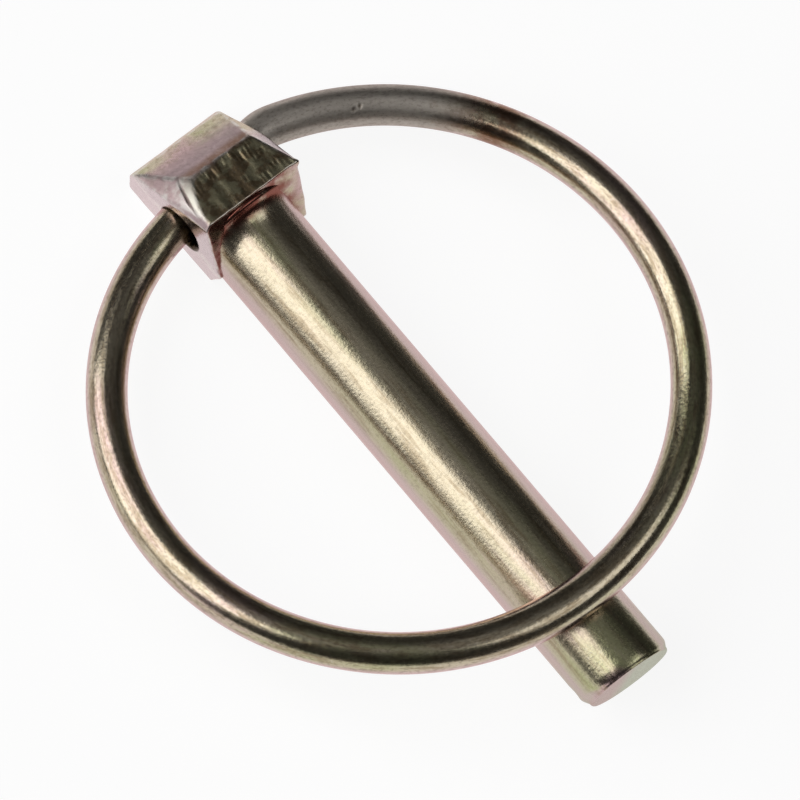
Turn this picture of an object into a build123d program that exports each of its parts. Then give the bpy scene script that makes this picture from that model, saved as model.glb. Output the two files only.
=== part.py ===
from build123d import *
from math import asin, cos, degrees, radians, sin, sqrt, tan
import os

# Lynch pin, in millimetres. A forged pin with a blocky head, and a sprung wire ring
# that is hinged in the head and snaps down over the far end of the shank.
# +Y runs from the head to the tip along the shank's axis, +Z is up from the surface
# the pin lies on, and the origin is on the axis at the head's underside.

# Shank
shank_diameter = 10.0
shank_length = 56.0
grip_length = 45.0
lead_taper = 0.05
root_taper = 0.05
tip_chamfer_length = 1.2
tip_chamfer_depth = 0.6
tip_round = 0.4
tip_skew = 3.5

# Head, as a side view: places along the pin and heights above the shank's axis. The breaks in
# its outline are shares of its length, so a longer head keeps the same facets
head_length = 13.8
head_shoulder_share = 8.7 / 13.8
head_cheek_share = 8.5 / 13.8
head_ridge_share = 3.5 / 13.8
head_back_step = 1.3
head_back_height = -5.0
head_end_height = 0.0
head_shoulder_height = 5.0
head_cheek_height = 3.6
head_ridge_height = 6.5
head_neck_height = -0.9

# Head, half widths across the pin at those places
end_half_width = 5.65
shoulder_half_width = 3.95
cheek_half_width = 6.0
ridge_half_width = 5.9
neck_half_width = 5.7
back_half_width = 5.1
head_sideways_shift = -0.4
shoulder_sideways_shift = -0.85
end_sideways_shift = 0.0
head_edge_round = 0.4
cove_length = 3.5
cove_height = 1.25

# Wire ring
wire_diameter = 4.1
ring_radius = 29.2
ring_centre_from_hinge = 26.8
ring_sideways_shift = -0.5
hinge_from_neck = 7.95
hinge_skew = 10.85
hinge_clearance = 0.05
entry_straight = 0.9
exit_straight = 0.3
end_gap = 1.2
rest_gap = 0.05

shank_radius = shank_diameter / 2
wire_radius = wire_diameter / 2
head_shoulder_setback = head_length * head_shoulder_share
head_cheek_setback = head_length * head_cheek_share
head_ridge_setback = head_length * head_ridge_share
hinge_hole_radius = wire_radius + hinge_clearance
head_blank_half_width = cheek_half_width + 4.0
cove_core_radius = shank_radius / 2

os.makedirs("parts", exist_ok=True)


def head_corner(side, half_width, along, height, sideways_shift=head_sideways_shift):
    """Corner of the head on one flank, from its half width there."""
    return Vector(side * half_width + sideways_shift, along, height)


def facet(first, second, third):
    """Plane through three corners of the head, facing out from its middle."""
    outward = (second - first).cross(third - first)
    middle = Vector(head_sideways_shift, -head_length / 2, 0)
    if outward.dot(first - middle) < 0:
        outward = -outward
    return Plane(origin=first, x_dir=second - first, z_dir=outward)


def flank_facets(side):
    """The four facets of one flank: end bevel, front bevel, side and back draft."""
    end = head_corner(side, end_half_width, -head_length, head_end_height, end_sideways_shift)
    shoulder = head_corner(
        side, shoulder_half_width, -head_shoulder_setback, head_shoulder_height, shoulder_sideways_shift
    )
    cheek = head_corner(side, cheek_half_width, -head_cheek_setback, head_cheek_height)
    ridge = head_corner(side, ridge_half_width, -head_ridge_setback, head_ridge_height)
    neck = head_corner(side, neck_half_width, 0, head_neck_height)
    back = head_corner(side, back_half_width, -head_back_step, head_back_height)
    return (
        facet(end, shoulder, cheek),
        facet(shoulder, ridge, cheek),
        facet(cheek, ridge, neck),
        facet(end, neck, back),
    )


# The head: its outline from the side, cut by the facets of both flanks
with BuildPart() as head:
    with BuildSketch(Plane.YZ):
        with BuildLine():
            Polyline(
                (-head_length, head_back_height),
                (-head_length, head_end_height),
                (-head_shoulder_setback, head_shoulder_height),
                (-head_ridge_setback, head_ridge_height),
                (0, head_neck_height),
                (-head_back_step, head_back_height),
                close=True,
            )
        make_face()
    extrude(amount=head_blank_half_width, both=True)
    for side in (-1, 1):
        for plane in flank_facets(side):
            split(bisect_by=plane, keep=Keep.BOTTOM)
    fillet(head.edges(), head_edge_round)

# The cove between the head's front and the shank, trimmed by the same flanks
with BuildPart() as cove:
    with BuildSketch(Plane.XY):
        with BuildLine():
            cove_start = (shank_radius, 0)
            cove_end = (shank_radius + cove_height, -cove_length)
            cove_root = (cove_core_radius, -cove_length)
            TangentArc(cove_start, cove_end, tangent=(0, -1))
            Polyline(cove_end, cove_root, (cove_core_radius, 0), cove_start)
        make_face()
    revolve(axis=-Axis.Y, revolution_arc=180)
    for side in (-1, 1):
        for plane in flank_facets(side):
            split(bisect_by=plane, keep=Keep.BOTTOM)

# Hinge line through both ends of the ring, skewed across the head
hinge_point = Vector(0, -hinge_from_neck, 0)
hinge_line = Vector(cos(radians(hinge_skew)), sin(radians(hinge_skew)), 0)
across_hinge = Vector(-sin(radians(hinge_skew)), cos(radians(hinge_skew)), 0)

# Ring centre in the ring's own plane: along the hinge line and away from it
to_centre = Vector(ring_sideways_shift, ring_centre_from_hinge, 0)
centre_along = to_centre.dot(hinge_line)
centre_away = to_centre.dot(across_hinge)

# The ring lies on the shank near the tip, so its plane tilts up from the shank's axis
crossing_along = (centre_away + ring_radius) * tan(radians(hinge_skew))
crossing_away = centre_away + sqrt(ring_radius**2 - (crossing_along - centre_along) ** 2)
ring_tilt = degrees(asin((shank_radius + wire_radius + rest_gap) / crossing_away))
lifted = cos(radians(ring_tilt)) * across_hinge + sin(radians(ring_tilt)) * Vector(0, 0, 1)
ring_plane = Plane(origin=hinge_point, x_dir=hinge_line, z_dir=hinge_line.cross(lifted))


def bend_end(start_along):
    """Far end of the bend that leads from the hinge line, at start_along, into the ring.

    The bend touches the hinge line at start_along and the ring circle from inside.
    """
    sideways = start_along - centre_along
    bend_radius = (ring_radius**2 - centre_away**2 - sideways**2) / (2 * (ring_radius - centre_away))
    reach = Vector(sideways, bend_radius - centre_away)
    return Vector(centre_along, centre_away) + reach * (ring_radius / reach.length)


entry_face = (cheek_half_width + head_sideways_shift) / cos(radians(hinge_skew))
exit_face = (-cheek_half_width + head_sideways_shift) / cos(radians(hinge_skew))
entry_start = entry_face + entry_straight
exit_start = exit_face - exit_straight
entry_touch = bend_end(entry_start)
exit_touch = bend_end(exit_start)
top_of_ring = Vector(centre_along, centre_away + ring_radius)

with BuildPart() as ring:
    with BuildLine(ring_plane) as ring_path:
        Line((end_gap / 2, 0), (entry_start, 0))
        TangentArc((entry_start, 0), (entry_touch.X, entry_touch.Y), tangent=hinge_line)
        ThreePointArc(
            (entry_touch.X, entry_touch.Y),
            (top_of_ring.X, top_of_ring.Y),
            (exit_touch.X, exit_touch.Y),
        )
        TangentArc((exit_start, 0), (exit_touch.X, exit_touch.Y), tangent=-hinge_line)
        Line((exit_start, 0), (-end_gap / 2, 0))
    with BuildSketch(Plane(origin=ring_path.line @ 0, z_dir=ring_path.line % 0)):
        Circle(wire_radius)
    sweep()

# The pin: a true cylinder for the grip, a slight lead towards the tip and a slight draft back
# into the head, with its end sheared a little out of square, then the head and the hinge hole
with BuildPart() as pin:
    bar_end = shank_length + shank_radius
    with BuildSketch(Plane.XY):
        with BuildLine():
            Polyline(
                (0, -hinge_from_neck),
                (shank_radius - root_taper, -hinge_from_neck),
                (shank_radius, 0),
                (shank_radius, grip_length),
                (shank_radius - lead_taper, bar_end),
                (0, bar_end),
                close=True,
            )
        make_face()
    revolve(axis=Axis.Y)
    tip_facing = Vector(sin(radians(tip_skew)), cos(radians(tip_skew)), 0)
    split(bisect_by=Plane(origin=(0, shank_length, 0), z_dir=tip_facing), keep=Keep.BOTTOM)
    tip_face = pin.faces().sort_by(Axis.Y)[-1]
    chamfer(tip_face.edges(), tip_chamfer_depth, tip_chamfer_length, reference=tip_face)
    fillet(pin.faces().sort_by(Axis.Y)[-1].edges(), tip_round)
    add(head.part)
    add(cove.part)
    with BuildSketch(Plane(origin=hinge_point, z_dir=hinge_line)):
        Circle(hinge_hole_radius)
    extrude(amount=head_blank_half_width, both=True, mode=Mode.SUBTRACT)

pin.part.label = "pin"
ring.part.label = "ring"
export_step(pin.part, "parts/pin.step")
export_step(ring.part, "parts/ring.step")
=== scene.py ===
"""Looks of a lynch pin: a forged pin and a wire ring in worn yellow zinc plate on a pale floor.

Lengths are in millimetres until a surface becomes a mesh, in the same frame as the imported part:
+Y along the shank to the tip, +Z up, origin on the shank's axis at the underside of the head.
"""

import bpy
import numpy as np
from mathutils import Matrix


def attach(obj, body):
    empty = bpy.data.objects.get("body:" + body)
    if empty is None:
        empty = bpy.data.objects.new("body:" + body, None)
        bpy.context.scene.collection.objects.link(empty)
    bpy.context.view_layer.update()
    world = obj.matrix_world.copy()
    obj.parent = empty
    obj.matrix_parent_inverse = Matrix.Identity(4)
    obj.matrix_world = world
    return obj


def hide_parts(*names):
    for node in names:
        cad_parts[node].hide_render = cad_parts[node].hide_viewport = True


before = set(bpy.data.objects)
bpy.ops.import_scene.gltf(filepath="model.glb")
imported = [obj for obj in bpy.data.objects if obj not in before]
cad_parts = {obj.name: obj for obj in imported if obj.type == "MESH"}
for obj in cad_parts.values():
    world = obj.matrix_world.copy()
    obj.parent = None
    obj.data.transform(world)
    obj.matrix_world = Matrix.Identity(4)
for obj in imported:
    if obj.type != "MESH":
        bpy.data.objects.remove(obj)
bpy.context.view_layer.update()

MM = 0.001
MICRON = 0.000001

# Sizes of the solids that the surfaces below follow
shank_radius = 5.0
shank_length = 56.0
tip_chamfer_length = 1.2
tip_chamfer_depth = 0.6
tip_skew = np.radians(3.5)
wire_radius = 2.05
ring_radius = 29.2
ring_centre = np.array([-0.5, 26.8, 0.0])
hinge_from_neck = 7.95
hinge_skew = np.radians(10.85)
ring_tilt = np.radians(7.421)
entry_straight = 0.9
exit_straight = 0.3
end_gap = 1.2
floor_height = -5.0

hinge_point = np.array([0.0, -hinge_from_neck, 0.0])
hinge_line = np.array([np.cos(hinge_skew), np.sin(hinge_skew), 0.0])
across_hinge = np.array([-np.sin(hinge_skew), np.cos(hinge_skew), 0.0])
lifted = np.cos(ring_tilt) * across_hinge + np.sin(ring_tilt) * np.array([0.0, 0.0, 1.0])
# Middle of the ring along the hinge line and away from it
ring_middle = np.array([ring_centre @ hinge_line, ring_centre @ across_hinge])

# Helpers for surfaces and meshes


def smoothstep(low, high, value):
    """0 below low, 1 above high, and 3t^2 - 2t^3 between."""
    t = np.clip((value - low) / (high - low), 0, 1)
    return t * t * (3 - 2 * t)


def ripple(points, wavelength, seed, waves=9):
    """Smooth random height, mostly from -1 to 1: a sum of sine waves in random directions."""
    rng = np.random.default_rng(seed)
    directions = rng.normal(size=(waves, points.shape[-1]))
    directions /= np.linalg.norm(directions, axis=1)[:, None]
    lengths = wavelength * rng.uniform(0.7, 1.4, waves)
    phases = rng.uniform(0, 2 * np.pi, waves)
    angles = points @ directions.T * (2 * np.pi / lengths) + phases
    return np.sin(angles).sum(axis=-1) / np.sqrt(waves)


def dent(points, centre, reach):
    """1 at a centre, falling to 0 at its reach along each axis as (1 - d^2)^2."""
    away = (((points - np.array(centre)) / np.array(reach)) ** 2).sum(axis=-1)
    return np.clip(1 - away, 0, 1) ** 2


def tube_faces(rows, columns):
    """Quads of a tube that closes round in its columns, and a fan to a hub point at each end."""
    row, column = np.meshgrid(np.arange(rows - 1), np.arange(columns), indexing="ij")
    following = (column + 1) % columns
    quads = np.stack(
        [
            row * columns + column,
            row * columns + following,
            (row + 1) * columns + following,
            (row + 1) * columns + column,
        ],
        axis=-1,
    ).reshape(-1, 4)
    around = np.arange(columns)
    onward = (around + 1) % columns
    last = (rows - 1) * columns
    start = np.stack([np.full(columns, rows * columns), onward, around], axis=-1)
    end = np.stack([np.full(columns, rows * columns + 1), last + around, last + onward], axis=-1)
    return quads.tolist() + start.tolist() + end.tolist()


def with_hubs(points, columns):
    """A tube's points with one more point at the middle of each end."""
    return np.vstack([points, points[:columns].mean(axis=0), points[-columns:].mean(axis=0)])


def make_piece(name, points, faces, attributes, body, node):
    """Mesh object from points in millimetres, with one attribute for each named array."""
    mesh = bpy.data.meshes.new(name)
    mesh.from_pydata((points * MM).tolist(), [], faces)
    for label, values in attributes.items():
        values = np.asarray(values, np.float32)
        kind, field = ("FLOAT", "value") if values.ndim == 1 else ("FLOAT_VECTOR", "vector")
        layer = mesh.attributes.new(label, kind, "POINT")
        layer.data.foreach_set(field, values.ravel())
    mesh.update()
    mesh.shade_smooth()
    piece = bpy.data.objects.new(name, mesh)
    bpy.context.scene.collection.objects.link(piece)
    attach(piece, body)
    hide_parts(node)
    return piece


# Head

# Corners of the head: half width, place along the pin, height, sideways shift
head_corners = {
    "end": (5.65, -13.8, 0.0, 0.0),
    "shoulder": (3.95, -8.7, 5.0, -0.85),
    "cheek": (6.0, -8.5, 3.6, -0.4),
    "ridge": (5.9, -3.5, 6.5, -0.4),
    "neck": (5.7, 0.0, -0.9, -0.4),
    "back": (5.1, -1.3, -5.0, -0.4),
}
flank_facets = (
    ("end", "shoulder", "cheek"),
    ("shoulder", "ridge", "cheek"),
    ("cheek", "ridge", "neck"),
    ("end", "neck", "back"),
)
side_outline = ((-13.8, -5.0), (-13.8, 0.0), (-8.7, 5.0), (-3.5, 6.5), (0.0, -0.9), (-1.3, -5.0))
outline_faces = ("end_face", "end_slope", "top", "front", "neck_draft", "back")
head_middle = np.array([-0.4, -6.9, 0.0])
head_half_size = np.array([6.0, 6.9, 5.6])

# Narrow flats that hammering and wear left on the head's edges: a point on each, and its normal
worn_flats = {
    "cheek_strip": ((5.3, -8.5, 3.85), (0.80, -0.24, 0.55)),
    "end_strip": ((0.0, -13.42, 0.32), (0.0, -0.93, 0.37)),
}

# Loose mouths of the hinge hole: flank, shift off the hinge line, radius and depth
hinge_mouths = (
    (1, (0.0, 0.7, 0.35), 2.55, 2.6),
    (-1, (0.0, 0.1, 0.0), 2.3, 1.2),
)


def head_planes():
    """Names, outward unit normals and distances from the head's middle of all its faces."""
    names, normals, distances = [], [], []

    def add(name, corner, normal):
        normal = normal / np.linalg.norm(normal)
        distance = normal @ (corner - head_middle)
        names.append(name)
        normals.append(normal * np.sign(distance))
        distances.append(abs(distance))

    for name, first, second in zip(outline_faces, side_outline, side_outline[1:] + side_outline[:1]):
        add(name, np.array([0.0, *first]), np.array([0.0, first[1] - second[1], second[0] - first[0]]))
    for side in (-1, 1):
        for number, facet in enumerate(flank_facets):
            corners = []
            for name in facet:
                half_width, along, height, shift = head_corners[name]
                corners.append(np.array([side * half_width + shift, along, height]))
            normal = np.cross(corners[1] - corners[0], corners[2] - corners[0])
            add(f"{'entry' if side > 0 else 'exit'}_{number}", corners[0], normal)
    for name, (corner, normal) in worn_flats.items():
        add(name, np.array(corner), np.array(normal))
    return names, np.array(normals), np.array(distances)


def box_directions(divisions):
    """Directions through a grid on the six sides of the head's box, and the quads that join them."""
    steps = np.linspace(-1, 1, divisions + 1)
    first, second = np.meshgrid(steps, steps, indexing="ij")
    row, column = np.meshgrid(np.arange(divisions), np.arange(divisions), indexing="ij")
    corner = row * (divisions + 1) + column
    quad = np.stack([corner, corner + divisions + 1, corner + divisions + 2, corner + 1], axis=-1)
    quad = quad.reshape(-1, 4)
    points = []
    faces = []
    for axis in range(3):
        for sign in (-1, 1):
            side = np.empty((divisions + 1, divisions + 1, 3))
            side[..., axis] = sign
            side[..., (axis + 1) % 3] = first
            side[..., (axis + 2) % 3] = second
            faces.append((quad if sign > 0 else quad[:, ::-1]) + len(points) * (divisions + 1) ** 2)
            points.append(side.reshape(-1, 3))
    unique, index = np.unique(np.round(np.vstack(points), 6), axis=0, return_inverse=True)
    return unique * head_half_size, index.reshape(-1)[np.vstack(faces)]


def rubbed_highlight_strip(points):
    """How far points lie in the strip under the front bevel's upper edge, and in the groove below it.

    The strip narrows from the shoulder to the ridge.
    """
    start = np.array([3.1, -8.7, 5.0])
    edge = np.array([2.4, 5.2, 1.5])
    share = (points - start) @ edge / (edge @ edge)
    below = np.linalg.norm(points - start - share[:, None] * edge, axis=1)
    width = 1.0 - 0.7 * np.clip(share, 0, 1)
    strip = 1 - smoothstep(width - 0.2, width, below)
    groove_offset = 0.08
    groove_width = 0.14
    groove = np.exp(-(((below - width - groove_offset) / groove_width) ** 2))
    return strip, groove


def forging_relief(points, names):
    """Depth of each face below its plane at a point, from the dies, the trimming tool and handling.

    All faces share two ripples, and the top, the front bevel and the end slope add their own marks.
    """
    relief = np.zeros((len(points), len(names)))
    relief += (0.010 * ripple(points, 6.0, 3) + 0.003 * ripple(points, 1.2, 4))[:, None]
    top = names.index("top")
    slope = names.index("end_slope")
    # Trimming marks cross the top in long strokes along one direction, a little off the pin's own
    ahead, aside, stroke_stretch = 0.98, 0.18, 12
    across = points[:, 0] * ahead - points[:, 1] * aside
    onward = (points[:, 1] * ahead + points[:, 0] * aside) / stroke_stretch
    strokes = np.stack([across, onward], axis=-1)
    chatter = ripple(strokes, 0.42, 5, 14) + 0.6 * ripple(strokes, 0.24, 6, 14)
    patches = smoothstep(-0.2, 0.9, ripple(points, 2.2, 7))
    relief[:, top] += 0.02 * chatter * patches + 0.016 * ripple(strokes, 1.3, 8)
    relief[:, names.index("entry_1")] += 0.09 * rubbed_highlight_strip(points)[1]
    # The end slope is hollow in its middle
    relief[:, slope] += 0.06 * dent(points, (-0.5, -11.2, 2.6), (4.2, 2.6, 4))
    relief[:, slope] += 0.005 * ripple(points * np.array([0.35, 1, 1]), 1.3, 10)
    return relief


def head_surface():
    """The head's faces with softened edges.

    A point lies on the surface where the soft maximum s ln(sum exp(d / s)) of its distances d
    beyond the faces is zero, with s the edge softness; it is found by stepping along each
    direction from the head's middle.
    """
    names, normals, distances = head_planes()
    directions, faces = box_directions(divisions=115)
    directions = directions / np.linalg.norm(directions, axis=1)[:, None]
    outward = directions @ normals.T
    reach = np.where(outward > 1e-6, distances / np.maximum(outward, 1e-6), 1e9).min(axis=1)
    for _ in range(12):
        points = head_middle + directions * reach[:, None]
        softness = (0.07 + 0.02 * ripple(points, 3.0, 9))[:, None]
        beyond = (points - head_middle) @ normals.T - distances + forging_relief(points, names)
        peak = beyond.max(axis=1, keepdims=True)
        weights = np.exp((beyond - peak) / softness)
        total = weights.sum(axis=1)
        level = peak[:, 0] + softness[:, 0] * np.log(total)
        slope = (weights * outward).sum(axis=1) / total
        reach = reach - level / np.maximum(slope, 0.2)
    points = head_middle + directions * reach[:, None]
    return points, faces, names, weights / total[:, None]


def sink_hinge_mouths(points):
    """Pushes the flanks in along the hinge line round the wire, as a loose drilled mouth.

    Returns the points and how much painted shade each one takes, which reaches a little past the mouths.
    """
    mouth_shade = np.zeros(len(points))
    for side, shift, radius, depth in hinge_mouths:
        offset = points - hinge_point - np.array(shift)
        along = offset @ hinge_line
        away = np.linalg.norm(offset - along[:, None] * hinge_line, axis=1)
        near_side = side * along > 0
        inside = (1 - smoothstep(radius - 0.1, radius + 0.1, away)) * near_side
        points = points - (side * depth * inside)[:, None] * hinge_line
        # Painted shade: dark inside each mouth and a little past it
        mouth_shade += (1 - smoothstep(radius + 0.1, radius + 0.3, away)) * near_side
    return points, mouth_shade


def raise_burr(points):
    """Draws the far end of the ridge out into a small burr."""
    ridge_end = (-6.05, -3.2, 6.35)
    pull = np.array([-0.28, 0.12, 0.05])
    near = dent(points, ridge_end, (1.1, 0.9, 0.9))
    return points + near[:, None] * pull


head_points, head_faces, face_names, head_share = head_surface()
head_rubbed_highlight, head_groove = rubbed_highlight_strip(head_points)
head_points, head_recess_shade = sink_hinge_mouths(head_points)
head_points = raise_burr(head_points)


def share_of(*wanted):
    """How far each point belongs to any of the named faces."""
    return sum(head_share[:, face_names.index(name)] for name in wanted)


head_edge = np.clip((1 - (head_share**2).sum(axis=1)) * 2, 0, 1)
# Painted highlight, partly rubbed wear: the strip under the front bevel's upper edge is painted pale zinc
head_rubbed_highlight = head_rubbed_highlight * share_of("entry_1")
# Painted shade: dark in the hinge mouths and along the groove under the strip
head_recess_shade = np.clip(head_recess_shade + 0.8 * head_groove * share_of("entry_1"), 0, 1)
upper_slope = smoothstep(2.2, 3.6, head_points[:, 2])
far_slope = smoothstep(0.5, -4.5, head_points[:, 0])
low_slope = smoothstep(2.4, 0.6, head_points[:, 2])
head_rose = share_of("end_slope") * (0.75 + 0.25 * upper_slope - 0.7 * low_slope - 0.5 * far_slope)
head_rose += share_of("entry_0", "entry_1", "entry_2", "entry_3", "exit_1", "exit_2", "cheek_strip")
head_rose += 0.6 * share_of("front", "end_face")
head_pale = share_of("entry_2", "entry_3", "exit_1", "exit_2", "end_face")
# Painted shade: the entry facets and the cheek strip are darkened where they catch the side softbox, and
# the end slope darkens towards its top
head_facet_shade = 0.55 * share_of("entry_0", "entry_1") + share_of("cheek_strip")
head_facet_shade += 0.8 * share_of("end_slope") * smoothstep(1.0, 3.5, head_points[:, 2])
# Painted shade: the front face under the ridge takes a dark red, the plate's red tint darkened as shade in
# the cove round the shank's root
head_cove_shade = share_of("front") * smoothstep(-6.2, -4.2, head_points[:, 0])
head_tarnish = share_of("end_slope") * smoothstep(3.7, 4.6, head_points[:, 2])
head_rough = share_of("top")

head = make_piece(
    "pin_head",
    head_points,
    head_faces.tolist(),
    {
        "edge": head_edge,
        "rose": head_rose,
        "pale": head_pale,
        "facet_shade": head_facet_shade,
        "cove_shade": head_cove_shade,
        "recess_shade": head_recess_shade,
        "rubbed_highlight": head_rubbed_highlight,
        "tarnish": head_tarnish,
        "rough": head_rough,
    },
    body="pin",
    node="pin",
)

# Shank


def chamfer_profile():
    """Rows of the tip's chamfer: how far back from the end and how deep below the bar, as shares.

    The cone covers the first two thirds of the chamfer, and a quarter circle rounds it into the end.
    """
    steps = np.linspace(0, 1, 8)[1:]
    cone = 0.66
    quarter = np.pi / 2 * steps
    back = np.concatenate([1 - cone * steps, (1 - cone) * (1 - np.sin(quarter))])
    depth = np.concatenate([cone * steps**1.3, cone + (1 - cone) * (1 - np.cos(quarter))])
    return back[:, None], depth[:, None]


def shank_surface(columns=200, rows=330):
    """A bar whose radius follows its profile: cylinder, chamfer and flat end, and a flare to the head.

    Its end leans by tip_skew, and the flare grows over its upper half as a quarter of an ellipse.
    """
    bar_start, bar_end = -3.3, shank_length - 1.3
    flare_start, flare_length, flare_height = -0.15, 2.7, 1.35
    lean_start, lean_full = shank_length - 4.0, shank_length - 1.6
    thinnest_chamfer = 0.42
    turn = np.linspace(0, 2 * np.pi, columns, endpoint=False)
    back, depth = chamfer_profile()
    chamfer = thinnest_chamfer + (1 - thinnest_chamfer) * (1 - smoothstep(0.15, 0.85, np.sin(turn)))
    inward = np.linspace(1, 0.02, 30)[1:, None]
    along = np.vstack(
        [
            np.repeat(np.linspace(bar_start, bar_end, rows)[:, None], columns, axis=1),
            shank_length - back * tip_chamfer_length * chamfer,
            np.full((len(inward), columns), shank_length),
        ]
    )
    radius = np.vstack(
        [
            np.full((rows, columns), shank_radius),
            shank_radius - depth * tip_chamfer_depth * chamfer,
            (shank_radius - tip_chamfer_depth * chamfer) * inward,
        ]
    )
    upper = smoothstep(0.1, 0.75, np.sin(turn))
    rise = np.clip(-(along - flare_start) / flare_length, 0, 1)
    radius = radius + flare_height * (1 - np.sqrt(np.clip(1 - rise**2, 0, 1))) * upper
    x = radius * np.cos(turn)
    z = radius * np.sin(turn)
    y = along - smoothstep(lean_start, lean_full, along) * x * np.tan(tip_skew)
    points = np.stack([x, y, z], axis=-1).reshape(-1, 3)
    spread = points * np.array([1.0, 0.0, 1.0])
    spread /= np.maximum(np.linalg.norm(spread, axis=1), 0.5)[:, None]
    # Slow waves, fine lines along the bar, and a nick beside the tip
    wave = 0.006 * ripple(points, 14.0, 11) + 0.0025 * ripple(points * np.array([1, 0.12, 1]), 1.3, 12)
    wave -= 0.25 * dent(points, (4.75, 53.6, -1.6), (0.6, 0.8, 0.8))
    points = with_hubs(points + spread * wave[:, None], columns)
    return points, [face[::-1] for face in tube_faces(len(along), columns)]


shank_points, shank_faces = shank_surface()
shank_across, shank_along, _ = shank_points.T
shank_end = smoothstep(55.0, 55.9, shank_along + shank_across * np.tan(tip_skew))
shank_rose = shank_end * smoothstep(-1.5, 2.5, shank_across) - 0.3 * smoothstep(48, 53, shank_along)
shank_leaf = smoothstep(46, 54, shank_along) * (0.6 + 0.4 * shank_end)
# Painted shade: the shank takes the same dark red where it runs into the cove under the head
shank_cove_shade = smoothstep(-1.5, -2.4, shank_along)

shank = make_piece(
    "pin_shank",
    shank_points,
    shank_faces,
    {"rose": shank_rose, "leaf": shank_leaf, "cove_shade": shank_cove_shade},
    body="pin",
    node="pin",
)

# Ring

# Pits in the wire: centre, reach and depth
wire_pits = (((-16.3, -4.9, 2.8), 0.36, 0.14), ((-15.6, -5.0, 2.75), 0.3, 0.1))


def ring_path(samples):
    """Middle line of the wire in the ring's plane: straight end, bend, ring, bend, straight end.

    Each bend is the circle that touches the hinge line at the end of its straight and the ring's
    circle from inside. Returns the points, the tangents and the distance along the wire.
    """
    half_width, _, _, shift = head_corners["cheek"]
    entry = (half_width + shift) / np.cos(hinge_skew) + entry_straight
    leave = (-half_width + shift) / np.cos(hinge_skew) - exit_straight
    centre_along, centre_away = ring_middle

    def bend(start):
        sideways = start - centre_along
        radius = (ring_radius**2 - centre_away**2 - sideways**2) / (2 * (ring_radius - centre_away))
        touch = np.arctan2(radius - centre_away, sideways)
        return np.array([start, radius]), radius, touch % (2 * np.pi)

    def arc(hub, radius, begin, end):
        angle = np.linspace(begin, end, 4000)
        return hub + radius * np.stack([np.cos(angle), np.sin(angle)], axis=-1)

    entry_hub, entry_radius, entry_touch = bend(entry)
    leave_hub, leave_radius, leave_touch = bend(leave)
    line = np.vstack(
        [
            np.linspace([end_gap / 2, 0.0], [entry, 0.0], 500),
            arc(entry_hub, entry_radius, -np.pi / 2, entry_touch),
            arc(ring_middle, ring_radius, entry_touch, leave_touch),
            arc(leave_hub, leave_radius, leave_touch, 3 * np.pi / 2),
            np.linspace([leave, 0.0], [-end_gap / 2, 0.0], 500),
        ]
    )
    distance = np.concatenate([[0.0], np.cumsum(np.linalg.norm(np.diff(line, axis=0), axis=1))])
    wanted = np.linspace(0, distance[-1], samples)
    place = np.stack([np.interp(wanted, distance, line[:, i]) for i in range(2)], axis=-1)
    tangent = np.gradient(place, wanted, axis=0)
    tangent /= np.linalg.norm(tangent, axis=1)[:, None]
    return place, tangent, wanted


def ring_surface(columns=72, rows=1200):
    """Wire of round section carried along the ring's path, starting each turn on the ring's outside.

    Its radius has a slow wave, faint lines from drawing, and pits. Returns the points, the faces,
    each point's place along and around the straightened wire, and how far it lies in a pit.
    """
    lengthening = 9
    place, tangent, distance = ring_path(rows)
    plane_normal = np.cross(hinge_line, lifted)
    middle = hinge_point + place[:, :1] * hinge_line + place[:, 1:] * lifted
    outward = tangent[:, 1:] * hinge_line - tangent[:, :1] * lifted
    turn = np.linspace(0, 2 * np.pi, columns, endpoint=False)
    section = np.cos(turn)[:, None] * outward[:, None] + np.sin(turn)[:, None] * plane_normal
    section = section.reshape(-1, 3)
    travel = np.repeat(distance, columns)
    around = np.tile(turn, rows)
    rolled = [travel / lengthening, wire_radius * np.cos(around), wire_radius * np.sin(around)]
    along_wire = np.stack(rolled, axis=-1)
    wave = 0.006 * ripple(along_wire, 4.0, 21) + 0.003 * ripple(along_wire, 0.8, 22)
    middle = np.repeat(middle, columns, axis=0)
    points = middle + (wire_radius + wave)[:, None] * section
    pitted = np.zeros(len(points) + 2)
    for centre, reach, depth in wire_pits:
        pit = dent(points, centre, (reach, reach, 2.5))
        points = points - depth * pit[:, None] * section
        pitted[:-2] += pit
    hubs = [[0, 0, 0], [distance[-1], 0, 0]]
    wire_place = np.vstack([along_wire * np.array([lengthening, 1, 1]), hubs]) * MM
    return with_hubs(points, columns), tube_faces(rows, columns), wire_place, pitted


ring_points, ring_faces, wire_place, pitted = ring_surface()
# The plating is dull and grey round the bend that leaves the head, and tarnished next to it
seen_middle = hinge_point + ring_middle[0] * hinge_line + ring_middle[1] * lifted
from_middle = ring_points - seen_middle
bend_angle = np.degrees(np.arctan2(from_middle[:, 1], from_middle[:, 0])) % 360
dull = smoothstep(208, 224, bend_angle) * (1 - smoothstep(256, 268, bend_angle))
tarnish = smoothstep(198, 208, bend_angle) * (1 - smoothstep(216, 232, bend_angle))

ring = make_piece(
    "wire_ring",
    ring_points,
    ring_faces,
    {"wire_place": wire_place, "dull": dull, "tarnish": tarnish, "pitted": pitted},
    body="ring",
    node="ring",
)

# Materials: helpers for their nodes


def feed(tree, socket, value):
    """Links another socket to a node's socket, or gives it a number, a vector or a colour."""
    if isinstance(value, bpy.types.NodeSocket):
        tree.links.new(value, socket)
    elif socket.type == "RGBA":
        socket.default_value = (*value, 1)
    else:
        socket.default_value = value


def add_node(tree, kind, settings=None, inputs=None):
    """Node with its settings, and with its inputs given as sockets or values."""
    node = tree.nodes.new(kind)
    for label, value in (settings or {}).items():
        setattr(node, label, value)
    for label, value in (inputs or {}).items():
        feed(tree, node.inputs[label], value)
    return node


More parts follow.
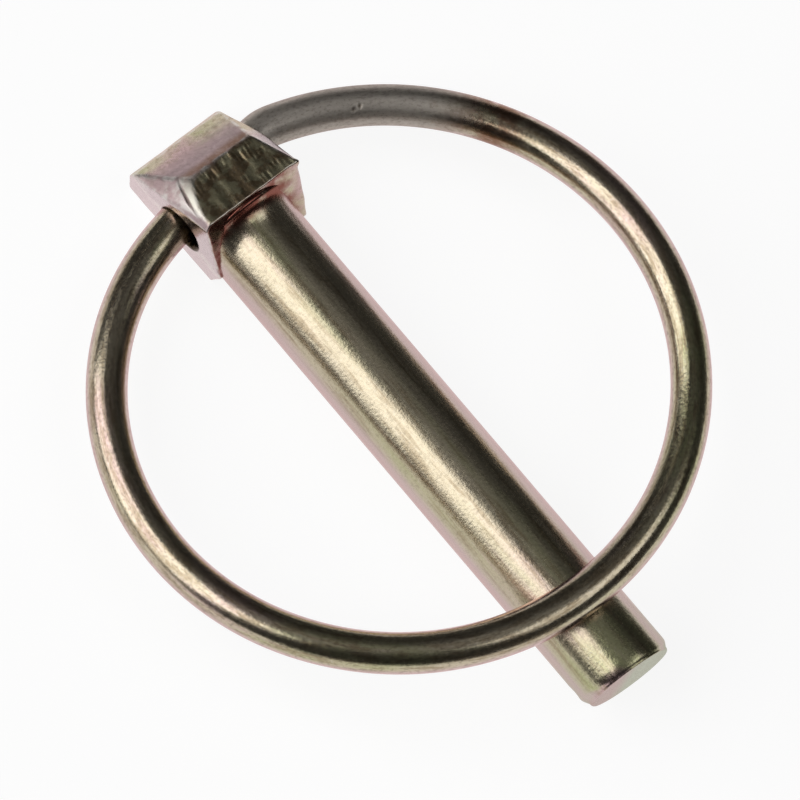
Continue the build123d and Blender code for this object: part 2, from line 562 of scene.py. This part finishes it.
def noise(tree, place, scale, detail=3.0, roughness=0.55):
    """Noise at a place, as its Fac socket."""
    inputs = {"Vector": place, "Scale": scale, "Detail": detail, "Roughness": roughness}
    return add_node(tree, "ShaderNodeTexNoise", inputs=inputs).outputs["Fac"]


def remap(tree, value, low, high, to_low=0.0, to_high=1.0):
    """Value between low and high spread smoothly over a new range."""
    settings = {"interpolation_type": "SMOOTHSTEP"}
    inputs = {"Value": value, "From Min": low, "From Max": high, "To Min": to_low, "To Max": to_high}
    return add_node(tree, "ShaderNodeMapRange", settings, inputs).outputs["Result"]


def combine(tree, operation, first, second, clamp=False):
    """One arithmetic step between sockets or numbers."""
    settings = {"operation": operation, "use_clamp": clamp}
    return add_node(tree, "ShaderNodeMath", settings, {0: first, 1: second}).outputs["Value"]


def weighted(tree, socket, share):
    """A socket times a share."""
    return combine(tree, "MULTIPLY", socket, share)


def change_place(tree, operation, place, amounts):
    """A place with an amount added to it or multiplied into it on each axis."""
    node = add_node(tree, "ShaderNodeVectorMath", {"operation": operation}, {0: place, 1: amounts})
    return node.outputs["Vector"]


def stretch(tree, place, factors):
    """A place scaled along each axis, which draws noise out into lines."""
    return change_place(tree, "MULTIPLY", place, factors)


def blend_colours(tree, share, first, second):
    """Mix of two colours, each a socket or red, green and blue."""
    # The Mix node has its two colours on inputs 6 and 7 and their blend on output 2
    inputs = {"Factor": share, 6: first, 7: second}
    return add_node(tree, "ShaderNodeMix", {"data_type": "RGBA"}, inputs).outputs[2]


def lay_over(tree, colour, layers):
    """Colour with others blended over it in turn, each a pair of its share and its colour."""
    for share, layer in layers:
        colour = blend_colours(tree, share, colour, layer)
    return colour


def attribute(tree, label, output="Fac"):
    """Socket that reads one of the mesh's own attributes."""
    return add_node(tree, "ShaderNodeAttribute", {"attribute_name": label}).outputs[output]


# Colours of the plating, its stains and its worn places, and of the painted shade and highlight on it

straw = (0.54, 0.47, 0.345)
rose = (0.54, 0.38, 0.37)
leaf = (0.43, 0.43, 0.24)
bronze = (0.27, 0.20, 0.12)
bare_zinc = (0.72, 0.70, 0.66)
# Pale zinc of the strip under the front bevel: a painted highlight, partly rubbed wear
polished_highlight = (0.74, 0.72, 0.62)
film_pink = (0.58, 0.46, 0.45)
pale_pink = (0.60, 0.53, 0.54)
# Darkened rose of the painted shade on the head's facets
shaded_rose = (0.40, 0.31, 0.32)
tool_olive = (0.46, 0.42, 0.27)
dull_grey = (0.44, 0.40, 0.355)
# Dark red of the plate, darkened as painted shade for the cove under the head
red_cove_shade = (0.22, 0.08, 0.06)
tarnish_brown = (0.24, 0.14, 0.09)
# Near black of the pores, also painted as shade in the hinge mouths and the groove
pore_and_shade = (0.10, 0.08, 0.06)

# Tints of the metal where it is seen at a shallow angle
head_rim = (1.0, 0.88, 0.88)
wire_rim = (1.0, 0.84, 0.84)
straw_rim = (0.92, 0.77, 0.77)
leaf_rim = (0.68, 0.76, 0.64)
rose_rim = (0.74, 0.58, 0.58)

# Groups for the effects that the materials share


def new_group(name, inputs, outputs):
    """Empty shader group with the named inputs, given as {name: (type, default)}, and outputs.

    Returns the group, the sockets that give its inputs and the sockets that take its outputs.
    """
    group = bpy.data.node_groups.new(name, "ShaderNodeTree")
    for label, (kind, default) in inputs.items():
        socket = group.interface.new_socket(label, in_out="INPUT", socket_type=kind)
        if default is not None:
            socket.default_value = default
    for label, kind in outputs.items():
        group.interface.new_socket(label, in_out="OUTPUT", socket_type=kind)
    return group, group.nodes.new("NodeGroupInput").outputs, group.nodes.new("NodeGroupOutput").inputs


def make_plating_clouds():
    """Group that clouds the yellow passivation between straw, rose, leaf green and bronze flecks."""
    group, given, result = new_group(
        "plating_clouds",
        {
            "Place": ("NodeSocketVector", None),
            "Cloud Scale": ("NodeSocketFloat", 150.0),
            "Rose": ("NodeSocketFloat", 0.0),
            "Leaf": ("NodeSocketFloat", 0.0),
            "Bronze": ("NodeSocketFloat", 0.0),
        },
        {"Color": "NodeSocketColor"},
    )
    # Each tone has its own noise: its scale beside the others, and where the tone starts and is full
    tones = (("Rose", 1.0, 0.46, 0.8), ("Leaf", 0.7, 0.46, 0.72), ("Bronze", 5.0, 0.5, 0.7))
    shares = {}
    for number, (tone, factor, start, full) in enumerate(tones):
        shift = (0.13 * number, 0.07 * number, 0.21 * number)
        place = change_place(group, "ADD", given["Place"], shift)
        cloud = noise(group, place, weighted(group, given["Cloud Scale"], factor), 4.0, 0.6)
        shares[tone] = remap(group, combine(group, "ADD", cloud, given[tone]), start, full)
    flecks = weighted(group, shares["Bronze"], 0.6)
    colour = blend_colours(group, shares["Leaf"], straw, leaf)
    colour = lay_over(group, colour, ((shares["Rose"], rose), (flecks, bronze)))
    feed(group, result["Color"], colour)
    return group


def make_crystal_grain():
    """Group for the fine orange peel of the plating: a height, its drawn lines and a roughness."""
    group, given, result = new_group(
        "crystal_grain",
        {
            "Place": ("NodeSocketVector", None),
            "Drawn Place": ("NodeSocketVector", None),
            "Grain Scale": ("NodeSocketFloat", 2600.0),
            "Line Depth": ("NodeSocketFloat", 1.0),
            "Smoothest": ("NodeSocketFloat", 0.2),
            "Roughest": ("NodeSocketFloat", 0.4),
        },
        {"Height": "NodeSocketFloat", "Lines": "NodeSocketFloat", "Roughness": "NodeSocketFloat"},
    )
    peel = noise(group, given["Place"], given["Grain Scale"])
    lines = noise(group, given["Drawn Place"], weighted(group, given["Grain Scale"], 0.55), 4.0)
    height = combine(group, "ADD", peel, weighted(group, lines, given["Line Depth"]))
    mottled = weighted(group, combine(group, "ADD", peel, lines), 0.5)
    roughness = remap(group, mottled, 0.38, 0.62, given["Smoothest"], given["Roughest"])
    feed(group, result["Height"], height)
    feed(group, result["Lines"], lines)
    feed(group, result["Roughness"], roughness)
    return group


def make_edge_wear():
    """Group that shows bare zinc where an edge is rubbed, broken up by noise."""
    group, given, result = new_group(
        "edge_wear",
        {
            "Place": ("NodeSocketVector", None),
            "Edge": ("NodeSocketFloat", 0.0),
            "Amount": ("NodeSocketFloat", 0.7),
        },
        {"Mask": "NodeSocketFloat"},
    )
    broken = remap(group, noise(group, given["Place"], 900.0), 0.35, 0.6)
    rubbed_highlight = remap(group, given["Edge"], 0.35, 0.95)
    feed(group, result["Mask"], weighted(group, weighted(group, broken, rubbed_highlight), given["Amount"]))
    return group


def make_broken_patch():
    """Group that breaks a patch up: none of it where its noise is below Low, all where it is above High."""
    group, given, result = new_group(
        "broken_patch",
        {
            "Place": ("NodeSocketVector", None),
            "Amount": ("NodeSocketFloat", 1.0),
            "Noise Scale": ("NodeSocketFloat", 500.0),
            "Low": ("NodeSocketFloat", 0.3),
            "High": ("NodeSocketFloat", 0.6),
        },
        {"Mask": "NodeSocketFloat"},
    )
    broken = remap(group, noise(group, given["Place"], given["Noise Scale"]), given["Low"], given["High"])
    feed(group, result["Mask"], weighted(group, broken, given["Amount"]))
    return group


def make_speckle():
    """Group of fine specks: masks for the dark pores and for the bright crystals between them."""
    group, given, result = new_group(
        "speckle",
        {"Place": ("NodeSocketVector", None), "Speck Scale": ("NodeSocketFloat", 2600.0)},
        {"Dark": "NodeSocketFloat", "Bright": "NodeSocketFloat"},
    )
    specks = noise(group, given["Place"], given["Speck Scale"], 2.0, 0.7)
    feed(group, result["Dark"], remap(group, specks, 0.36, 0.48, 1.0, 0.0))
    feed(group, result["Bright"], remap(group, specks, 0.55, 0.68))
    return group


plating_clouds = make_plating_clouds()
crystal_grain = make_crystal_grain()
edge_wear = make_edge_wear()
broken_patch = make_broken_patch()
speckle = make_speckle()

# Materials, each made of the groups with its own values


def place_group(tree, group, inputs):
    """Group node in a material, as its outputs."""
    node = add_node(tree, "ShaderNodeGroup", {"node_tree": group})
    for label, value in inputs.items():
        feed(tree, node.inputs[label], value)
    return node.outputs


def break_up(tree, place, amount, scale, low, high):
    """Mask of a patch that noise breaks up, from how far each point belongs to the patch."""
    inputs = {"Place": place, "Amount": amount, "Noise Scale": scale, "Low": low, "High": high}
    return place_group(tree, broken_patch, inputs)["Mask"]


def add_speckle(tree, place, colour, scale, dark_share, bright_share):
    """Colour with dark pores and bright crystals strewn over it."""
    specks = place_group(tree, speckle, {"Place": place, "Speck Scale": scale})
    pores = weighted(tree, specks["Dark"], dark_share)
    crystals = weighted(tree, specks["Bright"], bright_share)
    return lay_over(tree, colour, ((pores, pore_and_shade), (crystals, bare_zinc)))


def blush(tree, colour, low, high, most):
    """Colour that turns pink as the surface turns away from the viewer, as a thin film does."""
    facing = add_node(tree, "ShaderNodeLayerWeight", inputs={"Blend": 0.5}).outputs["Facing"]
    return blend_colours(tree, remap(tree, facing, low, high, 0.0, most), colour, film_pink)


def start_material(name):
    """Metal material: itself, its tree and the object's coordinates."""
    material = bpy.data.materials.new(name)
    material.use_nodes = True
    tree = material.node_tree
    tree.nodes["Principled BSDF"].inputs["Metallic"].default_value = 1.0
    return material, tree, add_node(tree, "ShaderNodeTexCoord").outputs["Object"]


def dress_shader(tree, colour, rim, roughness, height, bump_depth):
    """Feeds the shader its colour, rim tint and roughness, and a height as a bump of a depth in microns."""
    inputs = {"Strength": 1.0, "Distance": bump_depth * MICRON, "Height": height}
    bump = add_node(tree, "ShaderNodeBump", inputs=inputs)
    shader = tree.nodes["Principled BSDF"]
    feed(tree, shader.inputs["Base Color"], colour)
    feed(tree, shader.inputs["Specular Tint"], rim)
    feed(tree, shader.inputs["Roughness"], roughness)
    feed(tree, shader.inputs["Normal"], bump.outputs["Normal"])


def make_forging_plate():
    """Plating of the head: clouded, rosy on the slopes, rubbed edges, a tool-marked top, painted shade and
    highlight.
    """
    material, tree, place = start_material("forging_plate")
    tool_marked = attribute(tree, "rough")
    # Painted shade on some facets, which also makes them rougher
    shaded_facets = attribute(tree, "facet_shade")
    clouds = place_group(
        tree,
        plating_clouds,
        {
            "Place": place,
            "Cloud Scale": 260.0,
            "Rose": weighted(tree, attribute(tree, "rose"), 0.3),
            "Leaf": 0.03,
        },
    )
    grain = place_group(
        tree,
        crystal_grain,
        {
            "Place": place,
            "Drawn Place": stretch(tree, place, (1.0, 0.2, 1.0)),
            "Grain Scale": 3400.0,
            "Line Depth": 0.6,
            "Smoothest": 0.2,
            "Roughest": 0.3,
        },
    )
    wear = place_group(tree, edge_wear, {"Place": place, "Edge": attribute(tree, "edge"), "Amount": 0.6})
    scuffed = blend_colours(tree, break_up(tree, place, 1.0, 650.0, 0.42, 0.6), tool_olive, bronze)
    # Painted shade in the cove under the ridge, broken up by noise
    cove_shaded = break_up(tree, place, attribute(tree, "cove_shade"), 500.0, 0.3, 0.6)
    tarnished = break_up(tree, place, attribute(tree, "tarnish"), 420.0, 0.2, 0.5)
    tones = (
        (tool_marked, scuffed),
        (attribute(tree, "pale"), pale_pink),
        (shaded_facets, shaded_rose),
        (cove_shaded, red_cove_shade),
        (weighted(tree, tarnished, 0.9), tarnish_brown),
    )
    wear_highlight_and_shade = (
        (wear["Mask"], bare_zinc),
        # Painted highlight, partly rubbed wear, on the strip under the front bevel
        (attribute(tree, "rubbed_highlight"), polished_highlight),
        # Painted shade in the hinge mouths and the groove
        (attribute(tree, "recess_shade"), pore_and_shade),
    )
    colour = lay_over(tree, clouds["Color"], tones)
    colour = add_speckle(tree, place, colour, 3000.0, 0.14, 0.1)
    colour = lay_over(tree, colour, wear_highlight_and_shade)
    roughness = combine(tree, "ADD", grain["Roughness"], weighted(tree, tool_marked, 0.1))
    roughness = combine(tree, "ADD", roughness, weighted(tree, shaded_facets, 0.2))
    dress_shader(tree, colour, head_rim, roughness, grain["Height"], 7)
    return material


def make_shank_plate():
    """Plating of the shank: straw to olive, drawn out along the bar, with a sparkling grain and painted
    shade at the head.
    """
    material, tree, place = start_material("shank_plate")
    drawn = stretch(tree, place, (1.0, 0.1, 1.0))
    rosy = attribute(tree, "rose")
    leafy = attribute(tree, "leaf")
    clouds = place_group(
        tree,
        plating_clouds,
        {
            "Place": drawn,
            "Cloud Scale": 260.0,
            "Rose": weighted(tree, rosy, 0.3),
            "Leaf": weighted(tree, leafy, 0.19),
            "Bronze": 0.03,
        },
    )
    grain = place_group(
        tree,
        crystal_grain,
        {
            "Place": place,
            "Drawn Place": drawn,
            "Grain Scale": 3200.0,
            "Line Depth": 0.8,
            "Smoothest": 0.19,
            "Roughest": 0.28,
        },
    )
    colour = add_speckle(tree, place, clouds["Color"], 2800.0, 0.2, 0.1)
    colour = blush(tree, colour, 0.28, 0.6, 0.9)
    # Painted shade in the cove at the head, broken up by noise
    cove_shaded = break_up(tree, place, attribute(tree, "cove_shade"), 500.0, 0.2, 0.5)
    colour = blend_colours(tree, cove_shaded, colour, red_cove_shade)
    rim = lay_over(tree, straw_rim, ((leafy, leaf_rim), (rosy, rose_rim)))
    dress_shader(tree, colour, rim, grain["Roughness"], grain["Height"], 16)
    return material


def make_wire_plate():
    """Plating of the wire: fine lines from drawing, pores and flecks, and a dull tarnished stretch."""
    material, tree, place = start_material("wire_plate")
    wire = attribute(tree, "wire_place", "Vector")
    clouds = place_group(
        tree,
        plating_clouds,
        {
            "Place": stretch(tree, wire, (0.2, 1.0, 1.0)),
            "Cloud Scale": 320.0,
            "Rose": -0.01,
            "Bronze": 0.05,
        },
    )
    grain = place_group(
        tree,
        crystal_grain,
        {
            "Place": place,
            "Drawn Place": stretch(tree, wire, (0.08, 1.0, 1.0)),
            "Grain Scale": 3000.0,
            "Line Depth": 0.9,
            "Smoothest": 0.16,
            "Roughest": 0.27,
        },
    )
    streaks = remap(tree, grain["Lines"], 0.5, 0.68, 0.0, 0.5)
    colour = blend_colours(tree, streaks, clouds["Color"], bronze)
    colour = blush(tree, colour, 0.32, 0.75, 0.85)
    tarnished = break_up(tree, place, attribute(tree, "tarnish"), 420.0, 0.3, 0.55)
    dulled = break_up(tree, place, attribute(tree, "dull"), 300.0, 0.15, 0.4)
    colour = lay_over(tree, colour, ((tarnished, tarnish_brown), (dulled, dull_grey)))
    colour = add_speckle(tree, stretch(tree, wire, (0.6, 1.0, 1.0)), colour, 3600.0, 0.28, 0.14)
    # The pits are painted with the same near black
    colour = blend_colours(tree, attribute(tree, "pitted"), colour, pore_and_shade)
    roughness = combine(tree, "ADD", grain["Roughness"], weighted(tree, dulled, 0.27), True)
    dress_shader(tree, colour, wire_rim, roughness, grain["Height"], 12)
    return material


head.data.materials.append(make_forging_plate())
shank.data.materials.append(make_shank_plate())
ring.data.materials.append(make_wire_plate())

# Floor, light and camera


def ray_seen(tree):
    """1 for rays from the camera and for reflections and transmission, 0 for the rest."""
    path = add_node(tree, "ShaderNodeLightPath")
    seen = combine(tree, "ADD", path.outputs["Is Camera Ray"], path.outputs["Is Glossy Ray"], True)
    return combine(tree, "ADD", seen, path.outputs["Is Transmission Ray"], True)


def make_floor():
    """Pale floor that shows as white to the camera and in the metal, and keeps a soft shadow."""
    reach = 4.0
    height = floor_height * MM
    corners = [(x * reach, y * reach, height) for x, y in ((-1, -1), (1, -1), (1, 1), (-1, 1))]
    mesh = bpy.data.meshes.new("floor")
    mesh.from_pydata(corners, [], [(0, 1, 2, 3)])
    floor = bpy.data.objects.new("floor", mesh)
    bpy.context.scene.collection.objects.link(floor)
    material = bpy.data.materials.new("floor_paper")
    material.use_nodes = True
    tree = material.node_tree
    tree.nodes.clear()
    diffuse = add_node(tree, "ShaderNodeBsdfDiffuse", inputs={"Color": (0.9, 0.9, 0.9)})
    glow = add_node(tree, "ShaderNodeEmission", inputs={"Color": (1, 1, 1), "Strength": 1.1})
    inputs = {"Fac": weighted(tree, ray_seen(tree), 0.8), 1: diffuse.outputs[0], 2: glow.outputs[0]}
    mix = add_node(tree, "ShaderNodeMixShader", inputs=inputs)
    add_node(tree, "ShaderNodeOutputMaterial", inputs={"Surface": mix.outputs[0]})
    mesh.materials.append(material)


def make_world():
    """Studio that is dim overhead and dark to the sides; white where the camera sees it."""
    world = bpy.data.worlds.new("studio")
    bpy.context.scene.world = world
    world.use_nodes = True
    tree = world.node_tree
    tree.nodes.clear()
    direction = add_node(tree, "ShaderNodeTexCoord").outputs["Generated"]
    height = add_node(tree, "ShaderNodeSeparateXYZ", inputs={0: direction}).outputs["Z"]
    ramp = add_node(tree, "ShaderNodeValToRGB", inputs={"Fac": height})
    # Heights from the horizon, at 0, to straight up, at 1, and how bright the studio is there
    stops = ((0.0, 0.16), (0.2, 0.05), (0.6, 0.03), (0.88, 0.07), (1.0, 0.22))
    for position, _ in stops[1:-1]:
        ramp.color_ramp.elements.new(position)
    for element, (_, brightness) in zip(ramp.color_ramp.elements, stops):
        element.color = (brightness, brightness, brightness, 1)
    dim = add_node(tree, "ShaderNodeBackground", inputs={"Color": ramp.outputs["Color"]})
    white = add_node(tree, "ShaderNodeBackground", inputs={"Color": (1, 1, 1)})
    camera_ray = add_node(tree, "ShaderNodeLightPath").outputs["Is Camera Ray"]
    inputs = {"Fac": camera_ray, 1: dim.outputs[0], 2: white.outputs[0]}
    mix = add_node(tree, "ShaderNodeMixShader", inputs=inputs)
    add_node(tree, "ShaderNodeOutputWorld", inputs={"Surface": mix.outputs[0]})


def look_from(longitude, latitude, distance, aim=(0.0, 0.0, 0.0), roll=0.0):
    """Matrix of a lamp or camera that faces a point from a direction, with a roll, in degrees."""
    turn_round, lift, lean = np.radians([longitude, latitude, roll])
    away = np.array([np.cos(lift) * np.cos(turn_round), np.cos(lift) * np.sin(turn_round), np.sin(lift)])
    level = np.cross([0.0, 0.0, 1.0], away) / np.cos(lift)
    right = np.cos(lean) * level + np.sin(lean) * np.cross(away, level)
    turn = Matrix((right, np.cross(away, right), away)).transposed().to_4x4()
    return Matrix.Translation(np.array(aim) + away * distance) @ turn


def make_softbox(name, longitude, latitude, width, height, radiance):
    """Area lamp facing the part from a direction in degrees, with an even radiance."""
    distance = 1.6
    lamp = bpy.data.lights.new(name, "AREA")
    lamp.shape = "RECTANGLE"
    lamp.size = width
    lamp.size_y = height
    lamp.energy = radiance * np.pi * width * height
    holder = bpy.data.objects.new(name, lamp)
    bpy.context.scene.collection.objects.link(holder)
    holder.matrix_world = look_from(longitude, latitude, distance)
    holder.visible_camera = False


def make_camera():
    """Long-lens camera on the photograph's line of sight, aimed at the middle of its frame."""
    camera = bpy.data.cameras.new("camera")
    camera.lens = 360
    camera.sensor_width = 36
    camera.clip_start = 0.05
    camera.clip_end = 20
    holder = bpy.data.objects.new("camera", camera)
    bpy.context.scene.collection.objects.link(holder)
    # The line of sight and its roll in degrees, and the point it aims at and how far off that is
    longitude, latitude, roll = 25.571, 69.08, 25.532
    aim = np.array([-0.543, 20.479, 0.0])
    distance = 782.36
    holder.matrix_world = look_from(longitude, latitude, distance * MM, aim * MM, roll)
    bpy.context.scene.camera = holder


make_floor()
make_world()
make_softbox("side_softbox", longitude=321, latitude=38, width=1.85, height=1.75, radiance=2.05)
make_softbox("top_softbox", longitude=120, latitude=57, width=1.1, height=0.75, radiance=1.1)
make_camera()
bpy.context.scene.view_settings.view_transform = "Standard"
